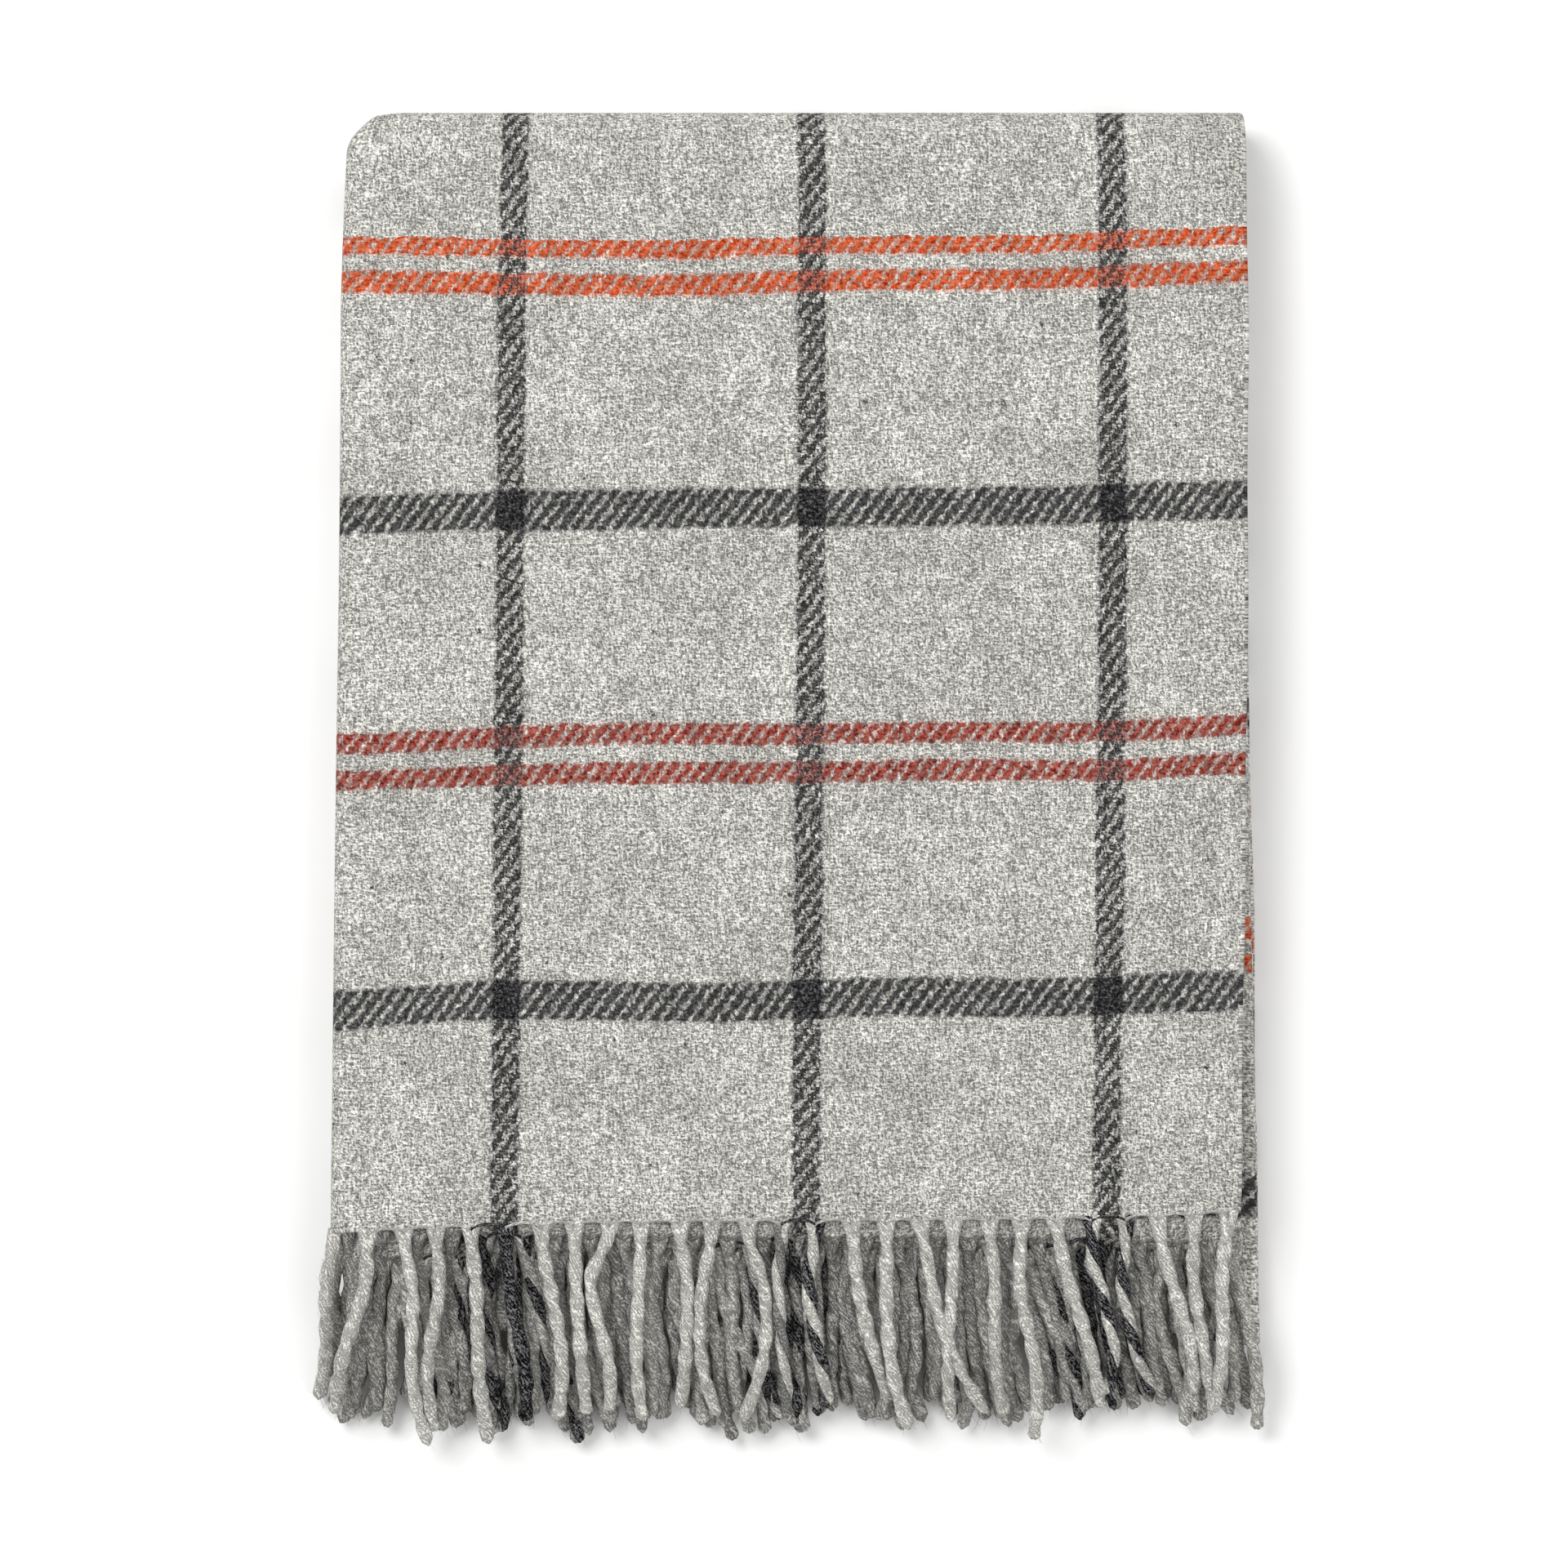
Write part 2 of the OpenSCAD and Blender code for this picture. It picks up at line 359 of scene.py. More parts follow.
def make_cloth(material):
    points, length, front = cloth_surface()
    normals = surface_normals(points)
    across = np.broadcast_to(ACROSS, length.shape)
    uv = np.stack([across, length], -1)
    points, faces, uv, front = closed_sheet(points, normals, uv, front, THICKNESS)
    cloth = make_object("cloth", points.tolist(), faces.tolist(), uv[faces.ravel()], None, material)
    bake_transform(cloth)
    return cloth


# ---------------------------------------------------------------- the fringe

# A strand is two twisted plies, which part at the hem and are flattened there
PLY_RADIUS, PLY_OFFSET = 1.95 * MM, 0.65 * MM
FUNNEL, ROOT_SPREAD = 7 * MM, 2.0 * MM
ROOT_HALF_WIDTH, ROOT_HALF_HEIGHT = 2.0 * MM, 0.95 * MM
TIP_ROUNDING = 2.2 * MM
TWIST_LAY, LUMP_LENGTH = 24 * MM, 9 * MM
TUBE_SIDES, RING_STEP = 10, 1.5 * MM
# Height of the middle of each row's strands where they lie on one another. The first row stands proud.
LEVEL = dict(zip(range(2, PLIES + 1), np.linspace(TOP_Z - 12.0 * MM, BACK_TOP_Z + 2.2 * MM, PLIES - 1)))
LEVEL[1] = TOP_Z - 2.6 * MM
LOWEST_TIP, SECOND_TIP, HIGHEST_TIP = 3.1 * MM, 10 * MM, 16 * MM
FIRST_ROOT_X = LEFT_X - 7.7 * MM
FARTHEST_RIGHT = 8 * MM
ROW_SHIFT = dict(zip(range(1, PLIES + 1), np.array([0, 5.2, 1.2, 6.8, -1.0, 4.4, 0.8, 6.0]) * MM))
STRANDS_A_ROW = 27
LENGTH_SPREAD, TIP_SPREAD = 3.4 * MM, 0.6 * MM
FEW_STRAY, STRAY_DEGREES, USUAL_DEGREES = 0.25, 8.0, 2.8
SWAY, SECOND_SWAY, HOOK = 2.3 * MM, 1.4 * MM, 1.6 * MM
HAIRS_A_STRAND = 90
HAIR_LENGTHS, HAIR_RADII = (1.5 * MM, 5.0 * MM), (0.05, 0.085)
LOOP_RADIUS, LOOP_DROP, LOOP_LIFT = 0.7 * MM, 2.0 * MM, 0.5 * MM

# Sideways lean of a strand by the place of its root, as seen from above: the left ones sweep left
LEAN_AT = np.array([-162, -148, -138, -122, -90, 0, 60, 110, 145, 156, 165]) * MM
LEAN_DEGREES = [-7, -8, -5, 1, 4, 3, 5, 8, 9, 10.5, 10.5]
# Reach of the tips beyond the first hem, by the place of the root
LENGTH_AT = np.array([-162, -150, -130, -77, 0, 71, 130, 157, 165]) * MM
LENGTHS = np.array([68, 71, 75, 75, 74, 74, 67, 74, 74]) * MM


def stripe_share(low, high):
    """How much of the warp between these two places belongs to a charcoal stripe."""
    first, pitch, width = (WARP_STRIPES[k] for k in ("first", "pitch", "width"))
    covered = 0
    for n in range(int(CLOTH_WIDTH / pitch) + 1):
        centre = first + n * pitch
        covered += max(0, min(high, centre + width / 2) - max(low, centre - width / 2))
    return covered / (high - low)


def hem_point(place, x, height, reach, second):
    """Where the hem lies at this distance from the first selvedge, settled like the cloth."""
    at_x, at_h = np.interp(place, ACROSS, x), np.interp(place, ACROSS, height)
    rise = weft_rise(at_x, True)
    y = HEM_Y - np.interp(place, ACROSS, reach) + (-rise if second else rise)
    moved = settle(np.array([at_x]), np.array([y]), np.array([MID_Z + at_h]), 1.0)
    return np.array([c[0] for c in moved])


def strand_line(root, ply):
    """Centre line of one strand, from inside the hem to its tip, with the distance along it."""
    x, y, z = root
    length = np.interp(x, LENGTH_AT, LENGTHS) - HEM_REACH[ply] + rng.normal(0, LENGTH_SPREAD)
    stray = rng.normal(0, STRAY_DEGREES if rng.random() < FEW_STRAY else USUAL_DEGREES)
    lean = math.radians(np.interp(x, LEAN_AT, LEAN_DEGREES) + stray)
    lean = min(lean, math.atan((RIGHT_X + FARTHEST_RIGHT - x) / length))
    early = 0.35 + 0.3 * rng.random()
    count = int(length / RING_STEP) + 1
    s = np.linspace(0, length, count)
    t = s / length
    sway = rng.normal(0, SWAY) * np.sin(math.pi * t)
    sway = sway + rng.normal(0, SECOND_SWAY) * np.sin(2 * math.pi * t)
    hook = rng.normal(0, HOOK) * t**4
    side = math.tan(lean) * length * (early * t + (1 - early) * t * t) + sway * smooth(t * 3) + hook
    # It lies on the back half as far as that reaches and then falls. The leftmost ones fall at once
    # and come to rest nearer the ground.
    held = y - BACK_Y + 2 * MM if x > BACK_LEFT_X else 7 * MM
    level = LEVEL[ply]
    tip = np.interp(ply, [1, 2, PLIES], [HIGHEST_TIP, SECOND_TIP, LOWEST_TIP])
    tip = tip + abs(rng.normal(0, TIP_SPREAD))
    if x < BACK_LEFT_X:
        tip = LOWEST_TIP + 0.25 * (tip - LOWEST_TIP)
    fall = smooth(np.clip((s - held) / (length - held), 0, 1) * 0.9) / smooth(0.9)
    height = z + (level - z) * smooth(s / (14 * MM)) - (level - tip) * fall
    path = np.stack([x + side, y + 0.8 * MM - s * math.cos(lean), height], -1)
    return path, s, length


def hairs(path, side, up, size, shade, face_base):
    """Fine stray fibres round a strand, as thin three-sided rods that leave it at a low angle."""
    count, rings, sides = HAIRS_A_STRAND, 4, 3
    ring = rng.integers(2, len(path) - 1, count)
    turn = rng.uniform(-0.5, math.pi + 0.5, count)
    radial = side[ring] * -np.cos(turn)[:, None] + up[ring] * np.sin(turn)[:, None]
    forward = path[np.minimum(ring + 1, len(path) - 1)] - path[ring - 1]
    forward /= np.linalg.norm(forward, axis=1, keepdims=True)
    flip = rng.choice([-1, 1], count)[:, None]
    across = np.cross(radial, forward) * rng.normal(0.3, 0.6, count)[:, None]
    way = forward * flip + across
    way /= np.linalg.norm(way, axis=1, keepdims=True)
    length = rng.uniform(*HAIR_LENGTHS, count)
    rise = rng.uniform(0.1, 0.45, count)
    curl = rng.normal(0, 0.35, (count, 3))
    t = np.linspace(0, 1, rings)[None, :, None]
    start = path[ring] + radial * (size * 0.92)
    line = (
        start[:, None, :]
        + way[:, None, :] * t * length[:, None, None]
        + radial[:, None, :] * (t - 0.55 * t * t) * (rise * length)[:, None, None]
        + curl[:, None, :] * t * t * length[:, None, None] * 0.5
    )
    line[..., 2] = np.clip(line[..., 2], 0.5 * MM, TOP_Z + 0.5 * MM)
    thick = rng.uniform(*HAIR_RADII, count)[:, None, None] * MM * (1 - 0.6 * t)
    angle = np.arange(sides) * 2 * math.pi / sides
    other = np.cross(way, radial)
    points = (
        line[:, :, None, :]
        + radial[:, None, None, :] * (thick * np.cos(angle))[..., None]
        + other[:, None, None, :] * (thick * np.sin(angle))[..., None]
    ).reshape(-1, 3)
    base = np.arange(count)[:, None, None] * rings * sides
    r, c = np.meshgrid(np.arange(rings - 1), np.arange(sides), indexing="ij")
    after = (c + 1) % sides
    quads = [r * sides + c, r * sides + after, (r + 1) * sides + after, (r + 1) * sides + c]
    faces = (base[..., None] + np.stack(quads, -1)[None]).reshape(-1, 4) + face_base
    first = np.arange(count) * rings * sides + face_base
    last = first + (rings - 1) * sides
    caps = np.concatenate([first[:, None] + [2, 1, 0], last[:, None] + [0, 1, 2]])
    uv = rng.uniform(0, 0.02, (len(faces) * 4 + len(caps) * 3, 2))
    return points, faces.tolist() + caps.tolist(), uv, np.full(len(points), shade)


def tube(path, side, up, half_width, half_height, s, shade, face_base):
    """One closed tube round path: points, faces, face-corner coordinates and a shade for each point."""
    rings = len(path)
    turns = np.arange(TUBE_SIDES) * 2 * math.pi / TUBE_SIDES
    points = (
        path[:, None, :]
        + side[:, None, :] * (half_width[:, None] * np.cos(turns))[..., None]
        + up[:, None, :] * (half_height[:, None] * np.sin(turns))[..., None]
    ).reshape(-1, 3)
    ring, column = np.meshgrid(np.arange(rings - 1), np.arange(TUBE_SIDES), indexing="ij")
    after = (column + 1) % TUBE_SIDES
    corners_of = [(ring, column), (ring, after), (ring + 1, after), (ring + 1, column)]
    faces = np.stack([r * TUBE_SIDES + c for r, c in corners_of], -1).reshape(-1, 4)
    round_step = 2 * math.pi * PLY_RADIUS / TUBE_SIDES
    place = [(column, ring), (column + 1, ring), (column + 1, ring + 1), (column, ring + 1)]
    uv = np.stack([np.stack([c * round_step, s[r]], -1) for c, r in place], 2).reshape(-1, 2)
    caps = [list(range(TUBE_SIDES))[::-1], [(rings - 1) * TUBE_SIDES + c for c in range(TUBE_SIDES)]]
    cap_uv = [(0.0, s[0])] * TUBE_SIDES + [(0.0, s[-1])] * TUBE_SIDES
    all_faces = (faces + face_base).tolist() + [[i + face_base for i in cap] for cap in caps]
    return points, all_faces, np.concatenate([uv, cap_uv]), np.full(len(points), shade)


def strand(root, place, ply, base):
    """The two twisted plies of one strand, and its stray fibres."""
    path, s, length = strand_line(root, ply)
    tangent = np.gradient(path, axis=0)
    tangent /= np.linalg.norm(tangent, axis=1, keepdims=True)
    side = np.cross(tangent, [0, 0, 1])
    side /= np.linalg.norm(side, axis=1, keepdims=True)
    up = np.cross(side, tangent)
    lay = TWIST_LAY * rng.uniform(0.85, 1.2)
    spread = ROOT_SPREAD * np.clip((root[0] - LEFT_X + 9 * MM) / (12 * MM), 0.15, 1)
    begin = FUNNEL * rng.uniform(0.45, 0.9)
    turned = 2 * math.pi * np.maximum(s - begin, 0) / lay
    funnel = smooth(s / FUNNEL)
    past = np.maximum(s - (length - TIP_ROUNDING), 0) / (TIP_ROUNDING + 0.05 * MM)
    tip = np.sqrt(np.clip(1 - past**2, 0.02, 1))
    lumps = 1 + 0.06 * np.sin(2 * math.pi * s / LUMP_LENGTH + rng.uniform(0, 6))
    lumps = lumps + rng.normal(0, 0.02, len(s))
    size = rng.uniform(0.93, 1.08)
    # Painted light and shade: the first row's strands are painted paler and the lower rows' darker,
    # though all are one grey yarn and the difference is the light falling into the gaps.
    painted_lightness = rng.uniform(0.65, 1.0) if ply == 1 else rng.uniform(0.0, 0.5)
    parts = []
    for sign in (-1, 1):
        offset = (1 - funnel) * spread + funnel * PLY_OFFSET * size
        centre = path + side * (sign * offset * np.cos(turned))[:, None]
        centre = centre + up * (sign * offset * np.sin(turned) * funnel)[:, None]
        half_width = ((1 - funnel) * ROOT_HALF_WIDTH + funnel * PLY_RADIUS * size) * tip * lumps
        half_height = ((1 - funnel) * ROOT_HALF_HEIGHT + funnel * PLY_RADIUS * size) * tip * lumps
        half = STRAND_PITCH / 2
        low = place - half if sign > 0 else place
        charcoal = smooth(stripe_share(low, low + half) * 1.2)
        shade = charcoal if charcoal > 0.3 else -painted_lightness
        parts.append(tube(centre, side, up, half_width, half_height, s, shade, base))
        base += len(parts[-1][0])
    parts.append(hairs(path, side, up, (PLY_RADIUS + PLY_OFFSET) * size * 0.85, shade, base))
    return parts


def fell_loop(start, end, shade, base):
    """The last picks between two strands, hanging as a short arch along the hem."""
    t = np.linspace(0, 1, 7)
    path = start + (end - start) * t[:, None]
    path[:, 1] -= LOOP_DROP * (0.1 + (2 * t - 1) ** 2)
    path[:, 2] += LOOP_LIFT
    tangent = np.gradient(path, axis=0)
    tangent /= np.linalg.norm(tangent, axis=1, keepdims=True)
    up = np.broadcast_to([0.0, 0.0, 1.0], path.shape)
    side = np.cross(tangent, up)
    thick = np.full(len(t), LOOP_RADIUS)
    s = np.abs(end - start)[0] * t + rng.random()
    return tube(path, side, up, thick, thick, s, shade, base)


def row_places(order, turn, ply):
    """Distances from the first selvedge to the roots of one ply's strands, staggered row by row."""
    start = ACROSS[turn * SPAN]
    right = RIGHT_X if turn in (0, 3) else RIGHT_FOLD_X
    x = FIRST_ROOT_X + ROW_SHIFT[ply] + STRAND_PITCH * np.arange(STRANDS_A_ROW)
    x = x + rng.normal(0, 0.5 * MM, STRANDS_A_ROW)
    places = start + (right - x if turn % 2 == 0 else x - LEFT_X)
    return places[(places > 1.5 * MM) & (places < CLOTH_WIDTH - 1.5 * MM) & (x < RIGHT_X - 1.5 * MM)]


def make_fringe(material):
    """One piece for each ply's row of strands, in the order of the plies."""
    rows = {}
    hems = [(LAYER_A, XA, HA, REACH_A, False), (LAYER_B, XB, HB, REACH_B, True)]
    for order, x, height, reach, second in hems:
        for turn, ply in enumerate(order):
            rows[ply] = []
            size = 0
            root_before = None
            for place in row_places(order, turn, ply):
                root = hem_point(place, x, height, reach, second)
                parts = strand(root, place, ply, size)
                size += sum(len(part[0]) for part in parts)
                if root_before is not None:
                    charcoal = parts[0][3][0] > 0.5
                    # Painted light and shade on the hem loops as well: pale loops on the first row,
                    # darker loops on the lower rows.
                    painted_lightness = 0.9 if ply == 1 else 0.1
                    parts.append(fell_loop(root_before, root, 1.0 if charcoal else -painted_lightness, size))
                    size += len(parts[-1][0])
                rows[ply] += parts
                root_before = root
    made = []
    for ply in sorted(rows):
        parts = rows[ply]
        points = np.concatenate([part[0] for part in parts])
        faces = [face for part in parts for face in part[1]]
        uv = np.concatenate([part[2] for part in parts])
        shade = np.concatenate([part[3] for part in parts])
        row = make_object(f"fringe_{ply}", points.tolist(), faces, uv, {"charcoal": shade}, material)
        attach(row, "front_half")
        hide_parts(f"fringe_row_{ply}")
        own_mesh(row)
        made.append(row)
    return made


# ---------------------------------------------------------------- materials


class Graph:
    """Short names for making a material's nodes."""

    def __init__(self, name):
        self.material = bpy.data.materials.new(name)
        self.material.use_nodes = True
        self.tree = self.material.node_tree
        self.shader = self.tree.nodes["Principled BSDF"]

    def put(self, socket, value):
        if isinstance(value, bpy.types.NodeSocket):
            self.tree.links.new(value, socket)
        else:
            socket.default_value = value

    def node(self, kind, **inputs):
        made = self.tree.nodes.new(kind)
        for key, value in inputs.items():
            self.put(made.inputs[key.replace("_", " ")], value)
        return made

    def math(self, operation, a, b=0.0, c=0.0):
        made = self.tree.nodes.new("ShaderNodeMath")
        made.operation = operation
        for socket, value in zip(made.inputs, (a, b, c)):
            self.put(socket, value)
        return made.outputs[0]

    def add(self, a, b):
        return self.math("ADD", a, b)

    def sub(self, a, b):
        return self.math("SUBTRACT", a, b)

    def mul(self, a, b):
        return self.math("MULTIPLY", a, b)

    def ramp(self, value, low, high, to_low=0.0, to_high=1.0):
        """value carried smoothly from low..high to to_low..to_high."""
        made = self.tree.nodes.new("ShaderNodeMapRange")
        made.interpolation_type = "SMOOTHSTEP"
        for socket, number in zip(made.inputs, (value, low, high, to_low, to_high)):
            self.put(socket, number)
        return made.outputs[0]

    def vector(self, x, y, z=0.0):
        return self.node("ShaderNodeCombineXYZ", X=x, Y=y, Z=z).outputs[0]

    def noise(self, x, y, detail=2.0, z=0.0):
        made = self.node("ShaderNodeTexNoise", Scale=1.0, Detail=detail, Vector=self.vector(x, y, z))
        return made.outputs[0]

    def mix(self, share, a, b):
        made = self.tree.nodes.new("ShaderNodeMix")
        made.data_type = "RGBA"
        for index, value in ((0, share), (6, a), (7, b)):
            self.put(made.inputs[index], value)
        return made.outputs[2]

    def yarn_uv(self):
        made = self.tree.nodes.new("ShaderNodeUVMap")
        made.uv_map = "yarn"
        parts = self.node("ShaderNodeSeparateXYZ", Vector=made.outputs[0])
        return parts.outputs[0], parts.outputs[1]

    def finish(self, colour, roughness, height, bump_distance):
        self.put(self.shader.inputs["Base Color"], colour)
        self.put(self.shader.inputs["Roughness"], roughness)
        bump = self.node("ShaderNodeBump", Strength=1.0, Distance=bump_distance, Height=height)
        self.put(self.shader.inputs["Normal"], bump.outputs[0])
        self.shader.inputs["Specular IOR Level"].default_value = 0.03
        self.shader.inputs["Sheen Weight"].default_value = 0.015
        self.shader.inputs["Sheen Roughness"].default_value = 0.6
        return self.material


PALE = (0.815, 0.80, 0.738, 1)
SHADOWED = (0.17, 0.168, 0.158, 1)
CHARCOAL = (0.001, 0.001, 0.002, 1)
CHARCOAL_LIGHT = (0.105, 0.105, 0.112, 1)
ORANGE = (0.73, 0.088, 0.015, 1)
ORANGE_DEEP = (0.25, 0.020, 0.003, 1)
RUST = (0.38, 0.050, 0.032, 1)
RUST_DEEP = (0.07, 0.005, 0.004, 1)
NEP = (0.03, 0.03, 0.031, 1)
ORANGE_TINT = (0.64, 0.22, 0.12, 1)
RUST_TINT = (0.45, 0.18, 0.14, 1)
CHARCOAL_TINT = (0.08, 0.08, 0.084, 1)
# Lit and shaded copies of the one strand grey, each running from dark fleck to pale fleck: painted shade
# for the lower rows, painted light for the first row.
STRAND_GREY_PAINTED_SHADE, STRAND_GREY_DARK_PAINTED_SHADE = (0.50, 0.49, 0.459, 1), (0.12, 0.118, 0.112, 1)
STRAND_GREY_PAINTED_LIGHT, STRAND_GREY_DARK_PAINTED_LIGHT = (0.90, 0.882, 0.817, 1), (0.40, 0.394, 0.37, 1)
STRAND_CHARCOAL = (0.20, 0.20, 0.205, 1)


def stripe_mask(g, place, stripes, soft):
    """1 inside the stripes, each a centre and a width, and 0 outside, with an edge this soft."""
    total = 0.0
    for centre, width in stripes:
        distance = g.math("ABSOLUTE", g.sub(place, centre))
        mask = g.ramp(distance, width / 2 - soft, width / 2 + soft, 1.0, 0.0)
        total = mask if isinstance(total, float) else g.math("MAXIMUM", total, mask)
    return total


def fibres(g, u, v):
    """Salt-and-pepper flecks of short fibres, most of them upright or level, about 0 to 1."""
    total = g.noise(g.mul(u, 1500), g.mul(v, 1500), 1.0, z=3.0)
    for turn, along_scale, cross_scale in ((0.08, 600, 1750), (1.5, 520, 1700), (0.8, 900, 1900)):
        a = g.add(g.mul(u, math.cos(turn)), g.mul(v, math.sin(turn)))
        b = g.sub(g.mul(v, math.cos(turn)), g.mul(u, math.sin(turn)))
        total = g.add(total, g.noise(g.mul(a, along_scale), g.mul(b, cross_scale), 1.0, z=turn * 9))
    return g.ramp(g.mul(total, 1 / 4), 0.405, 0.60)


def twill_material():
    g = Graph("wool_twill")
    u, v = g.yarn_uv()
    shake = g.sub(g.noise(g.mul(u, 430), g.mul(v, 430), 2.0), 0.5)
    drift = g.sub(g.noise(g.mul(u, 85), g.mul(v, 85), 1.0, z=4.0), 0.5)
    sweep = g.sub(g.noise(g.mul(u, 13), g.mul(v, 13), 0.0, z=8.0), 0.5)
    fleck = fibres(g, g.add(u, g.mul(shake, 0.7 * MM)), g.sub(v, g.mul(shake, 0.7 * MM)))
    u = g.add(u, g.add(g.mul(shake, 2.2 * MM), g.mul(drift, 2.0 * MM)))
    v = g.add(v, g.add(g.sub(g.mul(shake, 2.6 * MM), g.mul(drift, 2.2 * MM)), g.mul(sweep, 4.5 * MM)))

    # The weft and the warp each show through the raised fibres of the other along the twill lines.
    turns = g.add(g.mul(u, 1 / (4 * END_PITCH)), g.mul(v, 1 / (4 * PICK_PITCH)))
    wave = g.math("SINE", g.mul(turns, 2 * math.pi))
    ragged = g.sub(g.noise(g.mul(u, 900), g.mul(v, 640), 3.0, z=15.0), 0.5)
    torn = g.add(wave, g.add(g.mul(ragged, 6.5), g.mul(g.sub(fleck, 0.5), 1.0)))
    weft_up = g.ramp(torn, -1.15, 0.05)
    warp_up = g.ramp(torn, -0.20, 1.0, 1.0, 0.0)

    period = g.math("MODULO", g.math("MAXIMUM", v, 20 * MM), WEFT_PERIOD)
    warp_place = g.math("MODULO", u, WARP_STRIPES["pitch"])
    soft = 0.8 * MM
    warp_dark = stripe_mask(g, warp_place, [(WARP_STRIPES["first"], WARP_STRIPES["width"])], soft)
    weft_dark = stripe_mask(g, period, WEFT_CHARCOAL, soft)
    weft_rust = stripe_mask(g, period, WEFT_RUST, soft)
    weft_orange = stripe_mask(g, period, WEFT_ORANGE, soft)

    grey = g.mix(fleck, SHADOWED, PALE)
    coarse = g.ramp(g.noise(g.mul(u, 900), g.mul(v, 900), 1.0, z=31.0), 0.36, 0.64)
    charcoal = g.mix(g.mul(g.mul(fleck, 1.3), g.mul(coarse, coarse)), CHARCOAL, CHARCOAL_LIGHT)
    orange = g.mix(fleck, ORANGE_DEEP, ORANGE)
    rust = g.mix(fleck, RUST_DEEP, RUST)
    mixed_in = g.ramp(g.noise(g.mul(u, 1100), g.mul(v, 1100), 1.0, z=21.0), 0.40, 0.60, 0.10, 0.65)
    colour = g.mix(g.mul(g.mul(warp_dark, 0.9), g.math("MAXIMUM", warp_up, mixed_in)), grey, charcoal)
    colour = g.mix(g.mul(g.mul(weft_dark, 0.93), weft_up), colour, charcoal)
    colour = g.mix(g.mul(g.mul(warp_dark, weft_dark), 0.5), colour, charcoal)
    over_dark = g.mul(weft_up, g.sub(1.0, g.mul(warp_dark, mixed_in)))
    colour = g.mix(g.mul(weft_rust, over_dark), colour, rust)
    colour = g.mix(g.mul(weft_orange, over_dark), colour, orange)

    # Fibres that have strayed from the coloured stripes tint the grey in and beside them.
    stray = g.ramp(g.noise(g.mul(u, 700), g.mul(v, 700), 2.0, z=7.0), 0.40, 0.62)
    for stripes, tint, most in (
        (WEFT_ORANGE, ORANGE_TINT, 0.62),
        (WEFT_RUST, RUST_TINT, 0.55),
        (WEFT_CHARCOAL, CHARCOAL_TINT, 0.28),
    ):
        near = stripe_mask(g, period, stripes, 2.6 * MM)
        on_grey = g.mul(g.mul(near, stray), g.sub(1.0, g.mul(warp_dark, 0.9)))
        colour = g.mix(g.mul(on_grey, most), colour, tint)

    # Now and then a small dark knot of fibres was spun in.
    spots = g.tree.nodes.new("ShaderNodeTexVoronoi")
    spots.voronoi_dimensions = "2D"
    g.put(spots.inputs["Scale"], 1.0)
    g.put(spots.inputs["Vector"], g.vector(g.mul(u, 80), g.mul(v, 80)))
    chosen = g.node("ShaderNodeSeparateXYZ", Vector=spots.outputs["Color"]).outputs[0]
    spot_size = g.ramp(spots.outputs["Distance"], 0.02, 0.11, 1.0, 0.0)
    nep = g.mul(g.mul(spot_size, g.ramp(chosen, 0.90, 0.91)), g.ramp(fleck, 0.2, 0.9, 0.95, 0.35))
    colour = g.mix(nep, colour, NEP)

    # Uneven raising leaves slightly paler and greyer areas.
    patch = g.noise(g.mul(u, 28), g.mul(v, 28), 2.0, z=12.0)
    patch = g.add(patch, g.noise(g.mul(u, 110), g.mul(v, 110), 1.0))
    patch = g.add(patch, g.noise(g.mul(u, 300), g.mul(v, 300), 1.0, z=2.0))
    tone = g.ramp(g.mul(patch, 1 / 3), 0.36, 0.64, 0.80, 1.12)
    colour = g.node("ShaderNodeHueSaturation", Value=tone, Color=colour).outputs[0]

    # Painted light and shade on the yarn floats: the crowns of the warp and weft floats are painted
    # lighter and the grooves between yarns darker, as small upright and level strokes.
    ends = g.math("ABSOLUTE", g.math("SINE", g.mul(u, math.pi / END_PITCH)))
    picks = g.math("ABSOLUTE", g.math("SINE", g.mul(v, math.pi / PICK_PITCH)))
    yarn = g.add(g.mul(ends, g.sub(1.0, weft_up)), g.mul(picks, weft_up))
    shade = g.ramp(yarn, 0.1, 0.9, 0.80, 1.08)
    colour = g.node("ShaderNodeHueSaturation", Value=shade, Color=colour).outputs[0]
    height = g.add(g.mul(yarn, 0.35), g.add(g.mul(fleck, 0.75), g.mul(wave, 0.12)))
    return g.finish(colour, g.ramp(fleck, 0.0, 1.0, 0.95, 0.8), height, 0.4 * MM)


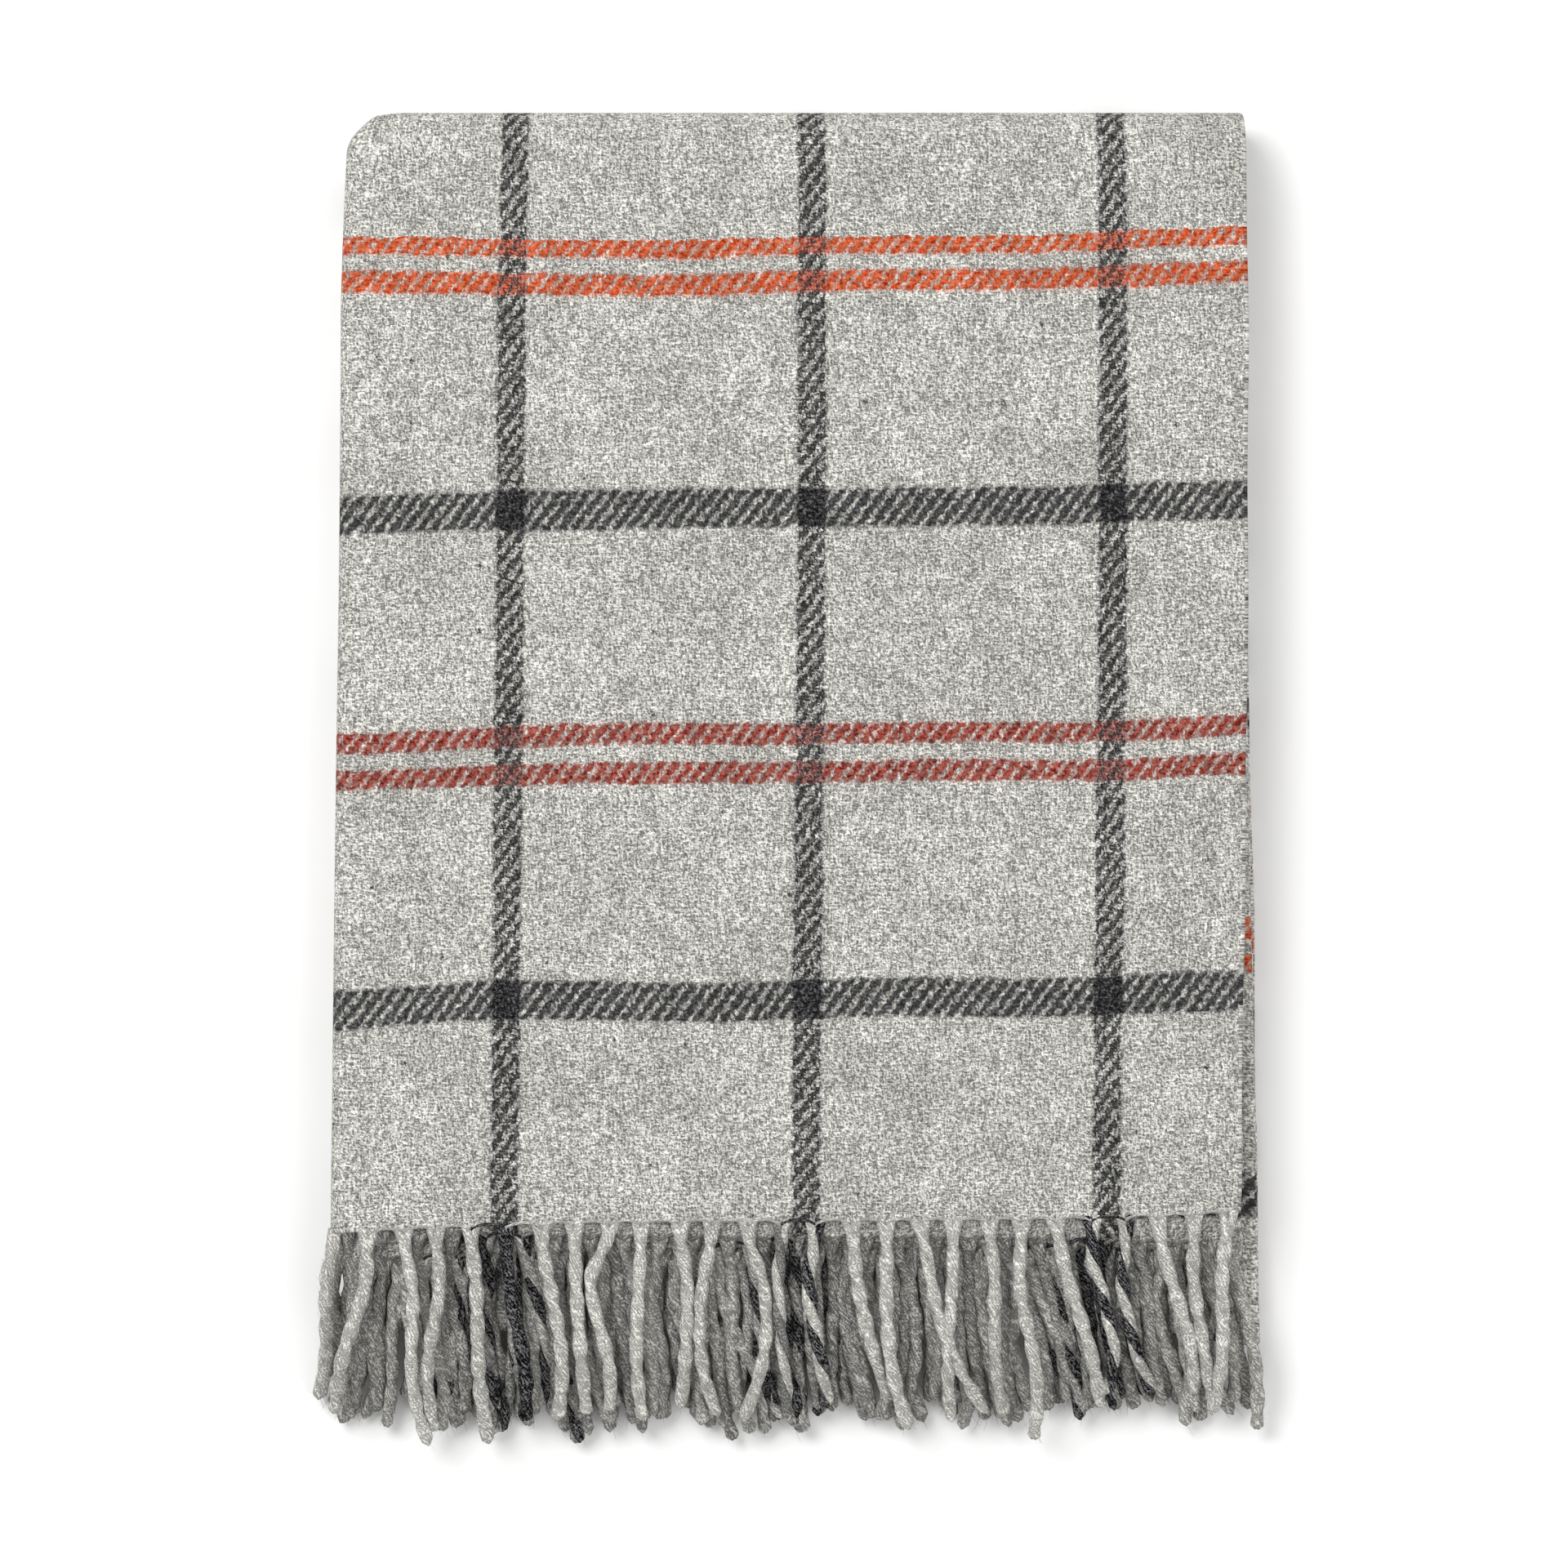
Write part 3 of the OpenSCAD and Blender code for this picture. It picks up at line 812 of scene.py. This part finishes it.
def strand_material():
    """Twisted wool. The attribute "charcoal" is 1 on charcoal yarn; below 0 it paints light on the one
    grey yarn, from the darker painted shade at 0 to the palest painted light at -1.
    """
    g = Graph("twisted_wool")
    c, s = g.yarn_uv()
    turn = math.radians(-32)
    along_fibre = g.add(g.mul(s, math.cos(turn)), g.mul(c, -math.sin(turn)))
    across = g.add(g.mul(c, math.cos(turn)), g.mul(s, math.sin(turn)))
    position = g.node("ShaderNodeNewGeometry").outputs["Position"]
    parts = g.node("ShaderNodeSeparateXYZ", Vector=position)
    place = g.mul(parts.outputs[0], 90)
    flecks = g.noise(g.mul(along_fibre, 360), g.mul(across, 1900), 2.0, z=place)
    specks = g.noise(g.mul(c, 1500), g.mul(s, 1500), 1.0, z=place)
    fleck = g.ramp(g.add(g.mul(flecks, 0.55), g.mul(specks, 0.45)), 0.40, 0.60)
    attribute = g.tree.nodes.new("ShaderNodeAttribute")
    attribute.attribute_name = "charcoal"
    # Painted light and shade: how far the grey is painted towards its lit copy; the lower rows stay
    # nearer the shaded copy.
    painted_light = g.math("MAXIMUM", g.mul(attribute.outputs["Fac"], -1.0), 0.0)
    dark = g.ramp(g.add(attribute.outputs["Fac"], g.mul(g.sub(flecks, 0.5), 0.8)), 0.42, 0.62)
    grey = g.mix(
        fleck,
        g.mix(painted_light, STRAND_GREY_DARK_PAINTED_SHADE, STRAND_GREY_DARK_PAINTED_LIGHT),
        g.mix(painted_light, STRAND_GREY_PAINTED_SHADE, STRAND_GREY_PAINTED_LIGHT),
    )
    charcoal = g.mix(g.mul(fleck, fleck), CHARCOAL, STRAND_CHARCOAL)
    colour = g.mix(dark, grey, charcoal)
    return g.finish(colour, g.ramp(fleck, 0.0, 1.0, 0.95, 0.8), fleck, 0.5 * MM)


# ---------------------------------------------------------------- room, light and camera

VIEW_WIDTH, VIEW_LEVEL = 567.4 * MM, 24 * MM
LENS, SENSOR = 180, 36


def make_camera():
    data = bpy.data.cameras.new("camera")
    data.lens, data.sensor_width = LENS, SENSOR
    camera = bpy.data.objects.new("camera", data)
    camera.location = (0, 0, VIEW_LEVEL + VIEW_WIDTH * LENS / SENSOR)
    bpy.context.scene.collection.objects.link(camera)
    bpy.context.scene.camera = camera


def make_floor():
    half = 6.0
    floor = make_object(
        "floor",
        [(-half, -half, 0), (half, -half, 0), (half, half, 0), (-half, half, 0)],
        [(0, 1, 2, 3)],
    )
    g = Graph("floor")
    g.shader.inputs["Base Color"].default_value = (0.93, 0.93, 0.925, 1)
    g.shader.inputs["Roughness"].default_value = 0.9
    floor.data.materials.append(g.material)


def area_light(name, place, size, power):
    data = bpy.data.lights.new(name, "AREA")
    data.shape, data.size, data.energy = "SQUARE", size, power
    light = bpy.data.objects.new(name, data)
    light.location = place
    direction = -np.array(place)
    flat = math.hypot(direction[0], direction[1])
    light.rotation_euler = (math.atan2(flat, -direction[2]), 0, math.atan2(-direction[0], direction[1]))
    bpy.context.scene.collection.objects.link(light)


def make_lights():
    area_light("key", (-1.1, 1.1, 2.3), 1.5, 54)
    area_light("fill", (1.3, -0.4, 2.0), 1.8, 16)
    world = bpy.data.worlds.new("studio")
    world.use_nodes = True
    world.node_tree.nodes["Background"].inputs[0].default_value = (1, 1, 1, 1)
    world.node_tree.nodes["Background"].inputs[1].default_value = 0.55
    bpy.context.scene.world = world
    bpy.context.scene.view_settings.view_transform = "Standard"


# ---------------------------------------------------------------- everything

make_camera()
make_floor()
make_lights()

cloth = make_cloth(twill_material())
fringe = make_fringe(strand_material())
CLOTH_NODES = [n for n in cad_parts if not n.startswith("fringe_row_")]
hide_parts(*CLOTH_NODES)
